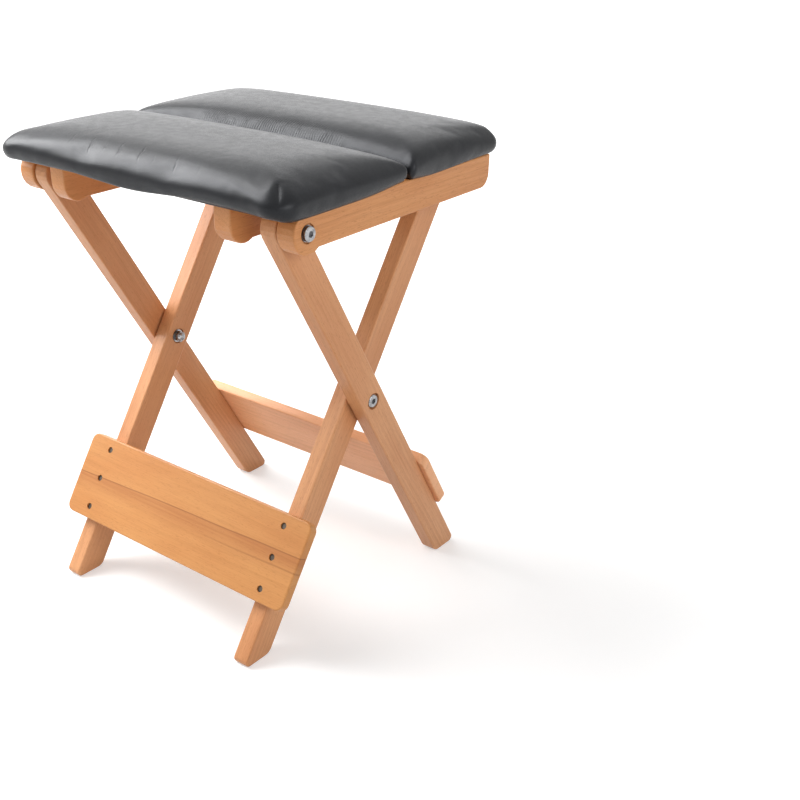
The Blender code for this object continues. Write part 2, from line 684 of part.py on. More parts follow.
def make_pivot_bolts(bodies, steel):
    """Bolt, washer, spacer and sleeve nut where the seat turns on the outer legs."""
    body = bodies["outer_legs"]
    bore = BOLT_RADIUS + BORE_GAP
    outside = OUTER_RAIL_LANE[1]
    inside = OUTER_LEG_LANE[0]
    rail_floor = outside - PIVOT_SINK
    head_seat = rail_floor + 2 * FACE_GAP + WASHER_THICKNESS
    flange_face = inside + SLEEVE_RECESS
    flange_seat = flange_face + SLEEVE_FLANGE
    flange_floor = flange_seat + FACE_GAP
    sleeve_tip = flange_face + SLEEVE_LENGTH
    for word, side in SIDES.items():
        out = RIGHT * side
        rail_hole = (
            (OUTER_RAIL_LANE[0] - CUTTER_OVERRUN, bore, 0),
            (rail_floor, bore, 0),
            (rail_floor, COUNTERBORE_RADIUS, 0),
            (outside + CUTTER_OVERRUN, COUNTERBORE_RADIUS, 0),
        )
        Piece.made[f"outer_rail_{word}"].drill(SEAT_PIVOT.copy(), out, rail_hole)
        leg_hole = (
            (inside - CUTTER_OVERRUN, SLEEVE_FLANGE_RADIUS + BORE_GAP, 0),
            (flange_floor, SLEEVE_FLANGE_RADIUS + BORE_GAP, 0),
            (flange_floor, SLEEVE_RADIUS + BORE_GAP, 0),
            (sleeve_tip + FACE_GAP, SLEEVE_RADIUS + BORE_GAP, 0),
            (sleeve_tip + FACE_GAP, bore, 0),
            (OUTER_LEG_LANE[1] + CUTTER_OVERRUN, bore, 0),
        )
        Piece.made[f"outer_leg_{word}"].drill(SEAT_PIVOT.copy(), out, leg_hole)
        make_bolt(
            f"pivot_bolt_{word}", body, steel, on_side(side, head_seat, SEAT_PIVOT), out,
            head_seat - flange_face - FACE_GAP,
        )
        make_washer(
            f"pivot_washer_{word}", body, steel,
            on_side(side, rail_floor + FACE_GAP, SEAT_PIVOT), out,
            WASHER_THICKNESS, WASHER_RADIUS,
        )
        make_washer(
            f"pivot_spacer_{word}", body, steel,
            on_side(side, OUTER_LEG_LANE[1] + FACE_GAP, SEAT_PIVOT), out,
            RAIL_PLAY - 2 * FACE_GAP, SPACER_RADIUS,
        )
        sleeve = Piece(f"pivot_sleeve_nut_{word}", body, steel)
        face = on_side(side, flange_face, SEAT_PIVOT)
        stations = (
            (0.0, SLEEVE_FLANGE_RADIUS, 0),
            (SLEEVE_FLANGE, SLEEVE_FLANGE_RADIUS, 0),
            (SLEEVE_FLANGE, SLEEVE_RADIUS, 0),
            (SLEEVE_LENGTH, SLEEVE_RADIUS, 0),
        )
        sleeve.turn(face, out, stations)
        hole = ((-CUTTER_OVERRUN, bore, 0), (SLEEVE_LENGTH + CUTTER_OVERRUN, bore, 0))
        sleeve.drill(face, out, hole)


def world_box(objects):
    """The box round the finished solids, as (low, high)."""
    graph = bpy.context.evaluated_depsgraph_get()
    corners = []
    for obj in objects:
        solid = obj.evaluated_get(graph)
        corners += [solid.matrix_world @ Vector(corner) for corner in solid.bound_box]
    low = Vector(min(corner[i] for corner in corners) for i in range(3))
    high = Vector(max(corner[i] for corner in corners) for i in range(3))
    return low, high


def main():
    for old in list(bpy.data.objects):
        bpy.data.objects.remove(old, do_unlink=True)
    leg_wood = new_material("leg_wood", LEG_COLOUR, 0.42)
    rail_wood = new_material("rail_wood", RAIL_COLOUR, 0.42)
    front_wood = new_material("front_board_wood", FRONT_BOARD_COLOUR, 0.40)
    rear_wood = new_material("rear_board_wood", REAR_BOARD_COLOUR, 0.42)
    plywood = new_material("seat_plywood", PLYWOOD_COLOUR, 0.70)
    leather = new_material("seat_leather", LEATHER_COLOUR, 0.38)
    steel = new_material("bolt_steel", STEEL_COLOUR, 0.28, 1.0)
    dark_steel = new_material("screw_steel", DARK_STEEL_COLOUR, 0.45, 1.0)

    stool = new_body("stool", Vector((0, 0, 0)), None)
    bodies = {
        "outer_legs": stool,
        "inner_legs": new_body("inner_leg_axis", CROSSING, stool["empty"]),
        "seat": new_body("seat_axis", SEAT_PIVOT, stool["empty"]),
    }
    make_legs(bodies, leg_wood)
    make_rails(bodies, rail_wood)
    make_boards(bodies, front_wood, rear_wood, dark_steel)
    make_seat(bodies, leather, plywood, dark_steel)
    make_leg_rests(bodies, rail_wood, dark_steel)
    make_crossing_bolts(bodies, steel)
    make_pivot_bolts(bodies, steel)
    nodes = [piece.build() for piece in Piece.made.values()]

    bpy.context.view_layer.update()
    low, high = world_box(nodes)
    slide = -(low.y + high.y) / 2
    stool["empty"].location.y = slide
    bpy.context.view_layer.update()
    print("stool box in mm:", [round(side / MM, 2) for side in high - low])
    print("slide along Y in mm:", round(slide / MM, 3))
    for name in ("inner_legs", "seat"):
        place = bodies[name]["empty"].matrix_world.translation
        print(name, "axis in mm:", [round(value / MM, 3) for value in place])


main()
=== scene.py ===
"""Looks of the folding yoga stool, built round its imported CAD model.

Metres, +Z up, -Y the stool's front. The CAD wood and metal stay and get their finishes here. The
two cushions are replaced: each is a fine leather skin that a cloth simulation puffs a little. The
creases and gathers are relief in the leather's material.
"""

import math

import bpy
import numpy as np
from mathutils import Matrix, Vector

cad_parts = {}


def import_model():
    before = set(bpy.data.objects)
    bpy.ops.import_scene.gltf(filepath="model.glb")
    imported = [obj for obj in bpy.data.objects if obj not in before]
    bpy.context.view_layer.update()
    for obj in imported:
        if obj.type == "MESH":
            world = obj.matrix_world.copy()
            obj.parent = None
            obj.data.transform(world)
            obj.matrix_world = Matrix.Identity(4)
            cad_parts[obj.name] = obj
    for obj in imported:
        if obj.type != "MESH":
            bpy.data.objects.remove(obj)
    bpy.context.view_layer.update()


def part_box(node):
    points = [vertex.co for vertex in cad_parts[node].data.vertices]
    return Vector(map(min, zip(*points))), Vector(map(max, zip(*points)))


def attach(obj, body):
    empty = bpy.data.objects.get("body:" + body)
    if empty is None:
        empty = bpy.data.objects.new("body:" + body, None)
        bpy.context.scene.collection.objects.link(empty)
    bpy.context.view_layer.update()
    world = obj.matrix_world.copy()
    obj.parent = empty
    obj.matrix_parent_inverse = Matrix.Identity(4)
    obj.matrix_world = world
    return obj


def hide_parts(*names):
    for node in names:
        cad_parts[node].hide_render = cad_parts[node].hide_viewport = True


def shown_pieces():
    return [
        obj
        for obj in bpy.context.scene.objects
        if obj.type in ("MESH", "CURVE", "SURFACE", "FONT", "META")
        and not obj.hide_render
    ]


MM = 0.001

# The fitted camera, in millimetres and pixels of the 800 by 800 photograph. It was fitted about the
# drawing's own datum, from which the stool slides along Y
SLIDE = 5.04
EYE = (706.727, -745.166, 649.911)
LOOK_RIGHT = (0.772377, 0.635162, -0.001573)
LOOK_UP = (-0.298861, 0.365608, 0.881484)
LOOK_FORWARD = (-0.560460, 0.680368, -0.472212)
FOCAL_PIXELS = 1126.667
CENTRE_PIXEL = (329.488, 466.258)
PHOTO_SIDE = 800
SENSOR = 36.0

# Light: the world's share on the object, and each lamp's place, target, size and watts
AMBIENT = 0.36
STOOL_MIDDLE = (0.0, 0.0, 0.3)
SEAT_MIDDLE = (0.0, 0.0, 0.43)
LAMPS = {
    "top_softbox": ((-1.25, -0.30, 2.2), SEAT_MIDDLE, (1.9, 1.0), 42.0),
    "back_softbox": ((-1.5, 1.7, 0.95), SEAT_MIDDLE, (2.4, 1.1), 8.8),
    "left_softbox": ((-1.36, -0.52, 1.24), SEAT_MIDDLE, (1.05, 0.85), 30.0),
    "front_softbox": ((-1.25, -1.40, 1.60), SEAT_MIDDLE, (0.8, 0.8), 3.0),
    "right_softbox": ((2.0, -0.3, 1.0), STOOL_MIDDLE, (1.2, 1.2), 16.0),
}

# Floor: its glow for the camera and reflections rises with the distance from the stool
FLOOR_HALF_SIDE = 6.0
FLOOR_DEPTH = 0.0002
FLOOR_TONE = 0.68
GLOW_REACH = (0.35, 1.9)
GLOW_NEAR = 0.42
GLOW_FAR = 0.85

# The legs' leans from the floor, and how far up the front board its lowest screws sit, in metres
INNER_LEAN = math.radians(56.0)
OUTER_LEAN = math.radians(58.75)
FRONT_SCREW_RISE = 0.0121

# Woods: the main tone, the tone of its clouds and the tone of its lines and flecks
LEG_TONES = ((214, 156, 110), (202, 140, 94), (158, 98, 56))
RAIL_TONES = ((210, 146, 92), (196, 128, 74), (150, 88, 44))
FRONT_BOARD_TONES = ((204, 145, 86), (195, 132, 75), (160, 98, 49))
# The rear board's tones are lighter than the other beech: painted light, standing in for the light from
# behind and above that falls on its face
REAR_BOARD_PAINTED_LIGHT_TONES = ((244, 184, 138), (234, 169, 122), (188, 124, 80))

# Wood figure: noise cells per metre along, across and through the grain, and lengths in metres
WANDER_CELLS = (5.0, 26.0, 26.0)
WANDER_REACH = 0.022
UNEVEN_CELLS = (7.0, 60.0, 60.0)
FIBRE_CELLS = (26.0, 900.0, 900.0)
FLECK_CELLS = (230.0, 1500.0, 1500.0)
CLOUD_CELLS = (6.0, 22.0, 22.0)
RING_SLANT = 0.55
RING_DARKEST = 0.93
FIBRE_SHARE = 0.16
FLECK_SHARE = 0.34
FIBRE_DEPTH = 0.00006

# The front board's dark streak, in metres above the board's lower edge
BAND_TOP = 0.0476
BAND_SLOPE = 0.027
BAND_BOW = 0.006
BAND_FADE = 0.022
BAND_CELLS = (5.0, 260.0, 1.0)
SECOND_LINE_BELOW = 0.0146
SECOND_LINE_HALF = 0.0016
BAND_TONES = {"body": (166, 101, 54), "edge": (122, 69, 36), "second": (142, 84, 45)}

# Leather: noise and cell sizes per metre, relief depths in metres
PEBBLE_CELLS = 720.0
PEBBLE_WARP_CELLS = 420.0
PEBBLE_WARP = 0.0009
PEBBLE_DEPTH = 0.00005
PORE_CELLS = 2600.0
PORE_DEPTH = 0.00002
SLACK_CELLS = 34.0
SLACK_DEPTH = 0.0009
PATCH_CELLS = 120.0
LEATHER_TONES = ((20, 21, 23), (28, 29, 32))
# The darker tone in the pebble grain's grooves is painted shade in the hollows
LEATHER_PAINTED_GROOVE_SHADE = (9, 9, 11)

# Steel and plywood: noise cells per metre, relief depths in metres
PLATED_TONE = (168, 168, 170)
SCREW_TONE = (96, 88, 80)
DULL_CELLS = 260.0
TURNING_CELLS = (700.0, 3800.0, 3800.0)
TURNING_DEPTH = 0.00003
DULL_SHARE = 0.72
PLY_GRAIN_CELLS = (8.0, 120.0, 120.0)
PLY_FIBRE_CELLS = (40.0, 1300.0, 1300.0)
PLY_TONES = ((208, 174, 130), (178, 138, 94), (140, 100, 62))
PLY_DEPTH = 0.0001

# Cushions: lengths in millimetres, corner radii and shoulders given as front and back or left and right
CORNER_RADII = {"front_cushion": (22.0, 5.0), "back_cushion": (5.0, 13.0)}
SHOULDERS_ALONG = {"front_cushion": (52.0, 62.0), "back_cushion": (54.0, 34.0)}
SHOULDERS_ACROSS = {"front_cushion": (78.0, 46.0), "back_cushion": (90.0, 34.0)}
BULGE_HEIGHT = 9.0
CROWN = 26.6
SQUARENESS = 2.1
SHOULDER_STEPS = 26
SPAN_STEP = 3.2
CORNER_BLEND = 3.0
DRAW_IN = 7.8
LIP_INNER = 8.4
SIDE_STEPS = 9
POCKET_INSET = 9.2
POCKET_DEPTH = 9.4

# How far the rolled lower edge hangs below the rails' tops, at places along each side
FRONT_DROP = ((-171, 0.0), (-78, -1.4), (3, 3.2), (78, -2.4), (122, -1.8), (171, 1.0))
SIDE_DROP = ((-156, 1.0), (-122, 4.2), (-22, 3.6), (0, 0.0), (18, 0.0), (40, 2.6), (150, -0.8))
BACK_DROP = ((-171, 0.0), (-90, 1.0), (20, -0.6), (171, -0.8))
RISE_SHARE = 0.45
DROP_STARTS = 4.0
DROP_RUN = 22.0
DROP_WINDOW = 25

# The cloth simulation that puffs the leather: lengths in millimetres
CLOTH = {
    "quality": 4,
    "mass": 0.35,
    "tension_stiffness": 28,
    "compression_stiffness": 28,
    "shear_stiffness": 12,
    "bending_stiffness": 3.0,
    "shrink_min": -0.006,
    "use_pressure": True,
    "uniform_pressure_force": 4.0,
}
PIN_FROM_STEP = 5
PUFF_CAP = 5.0
PUFF_FRAMES = 20
PUFF_SMOOTHING = 60
WRINKLE_SHARE = 0.35
WRINKLE_FREE = 34.0
CORNER_SWELL = 0.15

# Creases over the front cushion's shoulder, from the edge inwards, and the gathers along the gap
CREASES = (
    ((-75, -136), (-84, -115), 0.5), ((-49, -138), (-57, -119), 1.0), ((-33, -135), (-37, -123), 0.4),
    ((-14, -138), (-22, -118), 0.9), ((12, -138), (3, -116), 1.0), ((28, -137), (22, -125), 0.4),
    ((54, -139), (46, -121), 0.6), ((80, -139), (74, -125), 0.3),
)
CREASE_WIDTH = 1.6
CREASE_DEPTH = 0.26
GATHER_PITCH = 2.7
GATHER_DEPTH = 0.10
GATHERED_ACROSS = (-105, 112)
GATHERED_ALONG = (20, 46)


def linear(value):
    """A colour channel of 0 to 255 as the linear value that a socket takes."""
    value /= 255
    return value / 12.92 if value <= 0.04045 else ((value + 0.055) / 1.055) ** 2.4


def colour(red, green, blue):
    return (linear(red), linear(green), linear(blue), 1.0)


class Nodes:
    """A material's node tree, with short calls for the nodes used here."""

    def __init__(self, name):
        self.material = bpy.data.materials.new(name)
        self.material.use_nodes = True
        self.tree = self.material.node_tree
        self.shader = self.tree.nodes["Principled BSDF"]

    def link(self, source, target):
        self.tree.links.new(source, target)

    def put(self, target, value):
        if isinstance(value, bpy.types.NodeSocket):
            self.link(value, target)
        else:
            target.default_value = value

    def node(self, kind, **settings):
        made = self.tree.nodes.new(kind)
        for key, value in settings.items():
            setattr(made, key, value)
        return made

    def math(self, operation, a, b=0.0):
        made = self.node("ShaderNodeMath", operation=operation)
        self.put(made.inputs[0], a)
        self.put(made.inputs[1], b)
        return made.outputs[0]

    def along(self, vector, axis):
        made = self.node("ShaderNodeVectorMath", operation="DOT_PRODUCT")
        self.link(vector, made.inputs[0])
        made.inputs[1].default_value = axis
        return made.outputs["Value"]

    def combine(self, x, y, z):
        made = self.node("ShaderNodeCombineXYZ")
        for target, value in zip(made.inputs, (x, y, z)):
            self.put(target, value)
        return made.outputs[0]

    def scaled(self, vector, scale):
        made = self.node("ShaderNodeVectorMath", operation="MULTIPLY")
        self.link(vector, made.inputs[0])
        made.inputs[1].default_value = scale
        return made.outputs[0]

    def noise(self, vector, scale, detail=3.0, roughness=0.5):
        made = self.node("ShaderNodeTexNoise")
        self.link(vector, made.inputs["Vector"])
        made.inputs["Scale"].default_value = scale
        made.inputs["Detail"].default_value = detail
        made.inputs["Roughness"].default_value = roughness
        return made.outputs["Fac"]

    def ramp(self, value, low, high, out_low=0.0, out_high=1.0):
        made = self.node("ShaderNodeMapRange", interpolation_type="SMOOTHSTEP")
        self.put(made.inputs["Value"], value)
        made.inputs["From Min"].default_value = low
        made.inputs["From Max"].default_value = high
        made.inputs["To Min"].default_value = out_low
        made.inputs["To Max"].default_value = out_high
        return made.outputs[0]

    def mix(self, factor, a, b):
        made = self.node("ShaderNodeMix", data_type="RGBA")
        self.put(made.inputs["Factor"], factor)
        self.put(made.inputs[6], a)
        self.put(made.inputs[7], b)
        return made.outputs[2]

    def bump(self, height, distance, strength=1.0, below=None):
        made = self.node("ShaderNodeBump")
        self.link(height, made.inputs["Height"])
        made.inputs["Distance"].default_value = distance
        made.inputs["Strength"].default_value = strength
        if below is not None:
            self.link(below, made.inputs["Normal"])
        return made.outputs[0]

    def place(self):
        return self.node("ShaderNodeTexCoord").outputs["Object"]


def wood(name, along, wide, tones, ring_pitch=0.0052, ring_strength=0.20, band=None):
    """Lacquered beech. `along` is the grain, `wide` crosses it on the broad face."""
    tone, dark, deep = (colour(*each) for each in tones)
    n = Nodes(name)
    place = n.place()
    along, wide = Vector(along).normalized(), Vector(wide).normalized()
    thick = along.cross(wide)
    g, w, t = n.along(place, along), n.along(place, wide), n.along(place, thick)
    grain = n.combine(g, w, t)
    # Growth rings: lines that run along the grain and wander slowly
    wander = n.noise(n.scaled(grain, WANDER_CELLS), 1.0, 2.0)
    depth = n.math("ADD", w, n.math("MULTIPLY", t, RING_SLANT))
    depth = n.math("ADD", depth, n.math("MULTIPLY", wander, WANDER_REACH))
    ring = n.math("FRACT", n.math("MULTIPLY", depth, 1.0 / ring_pitch))
    late = n.math("MULTIPLY", n.ramp(ring, 0.25, RING_DARKEST), n.ramp(ring, 1.0, RING_DARKEST))
    uneven = n.noise(n.scaled(grain, UNEVEN_CELLS), 1.0, 2.0)
    late = n.math("MULTIPLY", late, n.ramp(uneven, 0.35, 0.7))
    # Fine fibres and the short dark flecks of beech
    fibre = n.noise(n.scaled(grain, FIBRE_CELLS), 1.0, 3.0, 0.6)
    fleck = n.noise(n.scaled(grain, FLECK_CELLS), 1.0, 1.0, 0.4)
    fleck = n.ramp(fleck, 0.62, 0.70)
    cloud = n.noise(n.scaled(grain, CLOUD_CELLS), 1.0, 3.0)
    shade = n.mix(n.ramp(cloud, 0.30, 0.72), tone, dark)
    shade = n.mix(n.math("MULTIPLY", late, ring_strength), shade, deep)
    if band is not None:
        shade = band(n, g, w, wander, shade)
    shade = n.mix(n.ramp(fibre, 0.42, 0.66, 0.0, FIBRE_SHARE), shade, deep)
    shade = n.mix(n.math("MULTIPLY", fleck, FLECK_SHARE), shade, deep)
    n.link(shade, n.shader.inputs["Base Color"])
    n.link(n.ramp(fibre, 0.3, 0.7, 0.36, 0.50), n.shader.inputs["Roughness"])
    n.shader.inputs["Specular IOR Level"].default_value = 0.30
    n.shader.inputs["Coat Weight"].default_value = 0.06
    n.shader.inputs["Coat Roughness"].default_value = 0.25
    relief = n.math("ADD", fibre, n.math("MULTIPLY", fleck, -0.8))
    n.link(n.bump(relief, FIBRE_DEPTH, 0.55), n.shader.inputs["Normal"])
    return n.material


def front_band(low_edge):
    """The darker streak across the front board, sharp at its upper line and soft below."""
    def paint(n, g, w, wander, shade):
        height = n.math("SUBTRACT", w, low_edge)
        line = n.math("ADD", n.math("MULTIPLY", g, BAND_SLOPE), BAND_TOP)
        bow = n.math("MULTIPLY", n.math("SUBTRACT", wander, 0.5), BAND_BOW)
        below = n.math("SUBTRACT", n.math("ADD", line, bow), height)
        body = n.math("MULTIPLY", n.ramp(below, -0.0003, 0.0009), n.ramp(below, BAND_FADE, 0.003))
        streaks = n.noise(n.scaled(n.combine(g, w, 0.0), BAND_CELLS), 1.0, 3.0)
        body = n.math("MULTIPLY", body, n.ramp(streaks, 0.25, 0.70, 0.45, 1.0))
        shade = n.mix(n.math("MULTIPLY", body, 0.72), shade, colour(*BAND_TONES["body"]))
        edge = n.math("MULTIPLY", n.ramp(below, -0.0002, 0.0005), n.ramp(below, 0.0017, 0.0006))
        shade = n.mix(n.math("MULTIPLY", edge, 0.55), shade, colour(*BAND_TONES["edge"]))
        second = n.math("ABSOLUTE", n.math("SUBTRACT", below, SECOND_LINE_BELOW))
        second = n.math("MULTIPLY", n.ramp(second, SECOND_LINE_HALF, 0.0), n.ramp(g, -0.02, 0.13))
        return n.mix(n.math("MULTIPLY", second, 0.5), shade, colour(*BAND_TONES["second"]))
    return paint


def creases(n, place):
    """Thin folds: 1 in the middle of each crease, 0 away from them."""
    wander = n.math("SUBTRACT", n.noise(place, 150.0, 2.0), 0.5)
    folds = 0.0
    for start, end, strength in CREASES:
        start, end = (Vector((*point, 0)) * MM for point in (start, end))
        length = (end - start).length
        onward = (end - start) / length
        sideways = Vector((onward.y, -onward.x, 0))
        run = n.math("SUBTRACT", n.along(place, onward), start.dot(onward))
        off = n.math("SUBTRACT", n.along(place, sideways), start.dot(sideways))
        off = n.math("ABSOLUTE", n.math("ADD", off, n.math("MULTIPLY", wander, 5 * MM)))
        ends = n.math("MULTIPLY", n.ramp(run, 0.0, 0.3 * length), n.ramp(run, length, 0.5 * length))
        fold = n.math("MULTIPLY", ends, n.ramp(off, CREASE_WIDTH * MM, 0.0, 0.0, strength))
        folds = n.math("MAXIMUM", folds, fold)
    return folds


def gathers(n, place):
    """The row of small pleats where the back cushion's leather is drawn in along the gap."""
    x, y = n.along(place, (1, 0, 0)), n.along(place, (0, 1, 0))
    wander = n.noise(place, 60.0, 2.0)
    turns = n.math("ADD", n.math("MULTIPLY", x, 1 / (GATHER_PITCH * MM)), n.math("MULTIPLY", wander, 1.4))
    wave = n.math("SINE", n.math("MULTIPLY", turns, math.tau))
    left, right = (value * MM for value in GATHERED_ACROSS)
    front, back = (value * MM for value in GATHERED_ALONG)
    across = n.math("MULTIPLY", n.ramp(x, left, left + 0.04), n.ramp(x, right, right - 0.05))
    along = n.math("MULTIPLY", n.ramp(y, front, front + 0.004), n.ramp(y, back, back - 0.016))
    uneven = n.ramp(n.noise(place, 110.0, 2.0), 0.35, 0.6, 0.3, 1.0)
    share = n.math("MULTIPLY", n.math("MULTIPLY", across, along), uneven)
    return n.math("MULTIPLY", wave, share)


def leather():
    """Black coated leather: a fine pebble grain with a satin top coat, and painted shade in the grain's
    grooves.
    """
    n = Nodes("black_leather")
    place = n.place()
    warp = n.node("ShaderNodeTexNoise")
    n.link(place, warp.inputs["Vector"])
    warp.inputs["Scale"].default_value = PEBBLE_WARP_CELLS
    moved = n.node("ShaderNodeVectorMath", operation="MULTIPLY_ADD")
    n.link(warp.outputs["Color"], moved.inputs[0])
    moved.inputs[1].default_value = (PEBBLE_WARP,) * 3
    n.link(place, moved.inputs[2])
    cells = n.node("ShaderNodeTexVoronoi", feature="DISTANCE_TO_EDGE")
    n.link(moved.outputs[0], cells.inputs["Vector"])
    cells.inputs["Scale"].default_value = PEBBLE_CELLS
    pebble = n.ramp(cells.outputs["Distance"], 0.0, 0.28)
    pores = n.noise(place, PORE_CELLS, 2.0)
    slack = n.noise(place, SLACK_CELLS, 3.0)
    patch = n.noise(place, PATCH_CELLS, 2.0)
    dark, light = (colour(*each) for each in LEATHER_TONES)
    tone = n.mix(n.ramp(slack, 0.3, 0.7), dark, light)
    # Painted shade: the tone darkens towards the edges of the grain's cells, in its grooves
    tone = n.mix(n.ramp(pebble, 0.0, 0.5, 0.5, 0.0), tone, colour(*LEATHER_PAINTED_GROOVE_SHADE))
    n.link(tone, n.shader.inputs["Base Color"])
    rough = n.math("ADD", n.ramp(patch, 0.3, 0.7, 0.28, 0.33), n.ramp(pebble, 0.0, 0.6, 0.08, 0.0))
    n.link(rough, n.shader.inputs["Roughness"])
    n.shader.inputs["Specular IOR Level"].default_value = 0.27
    n.shader.inputs["Specular Tint"].default_value = (0.93, 0.95, 1.0, 1.0)
    fine = n.bump(pores, PORE_DEPTH, 0.4)
    soft = n.bump(slack, SLACK_DEPTH, 0.35, fine)
    folded = n.bump(n.math("MULTIPLY", creases(n, place), -1.0), CREASE_DEPTH * MM, 1.0, soft)
    pleated = n.bump(gathers(n, place), GATHER_DEPTH * MM, 1.0, folded)
    n.link(n.bump(pebble, PEBBLE_DEPTH, 0.6, pleated), n.shader.inputs["Normal"])
    return n.material


def steel(name, tone, roughness):
    """Plated steel with fine turning marks and a little dulling."""
    n = Nodes(name)
    place = n.place()
    dull = n.noise(place, DULL_CELLS, 3.0)
    marks = n.noise(n.scaled(place, TURNING_CELLS), 1.0, 2.0)
    darker = tuple(DULL_SHARE * value for value in tone)
    n.link(n.mix(n.ramp(dull, 0.35, 0.75), colour(*tone), colour(*darker)),
           n.shader.inputs["Base Color"])
    n.shader.inputs["Metallic"].default_value = 1.0
    n.link(n.ramp(dull, 0.3, 0.7, roughness - 0.05, roughness + 0.10),
           n.shader.inputs["Roughness"])
    n.link(n.bump(marks, TURNING_DEPTH, 0.35), n.shader.inputs["Normal"])
    return n.material


def plywood():
    """The seat boards' raw birch faces."""
    n = Nodes("birch_plywood")
    place = n.place()
    grain = n.noise(n.scaled(place, PLY_GRAIN_CELLS), 1.0, 4.0, 0.6)
    fibre = n.noise(n.scaled(place, PLY_FIBRE_CELLS), 1.0, 2.0)
    light, dark, deep = (colour(*each) for each in PLY_TONES)
    tone = n.mix(n.ramp(grain, 0.35, 0.7), light, dark)
    tone = n.mix(n.ramp(fibre, 0.5, 0.75, 0.0, 0.25), tone, deep)
    n.link(tone, n.shader.inputs["Base Color"])
    n.link(n.ramp(fibre, 0.3, 0.7, 0.62, 0.78), n.shader.inputs["Roughness"])
    n.link(n.bump(fibre, PLY_DEPTH, 0.5), n.shader.inputs["Normal"])
    return n.material


def dress_nodes(nodes, finishes):
    """Gives each CAD node the finish whose word its name holds."""
    for name, obj in nodes.items():
        finish = next(material for word, material in finishes if word in name)
        obj.data.materials.clear()
        obj.data.materials.append(finish)


def inset_lines(length, shoulders):
    """Places from one border to the other: close at both borders, even between the shoulders."""
    angles = np.linspace(0, math.pi / 2, SHOULDER_STEPS + 1)
    low, high = (min(shoulder, length / 2) * (1 - np.cos(angles)) for shoulder in shoulders)
    middle = length - low[-1] - high[-1]
    steps = max(1, round(middle / SPAN_STEP))
    inner = low[-1] + middle * np.arange(1, steps) / steps
    if middle < SPAN_STEP / 2:
        high = high[:-1]
    return np.concatenate([low, inner, length - high[::-1]])


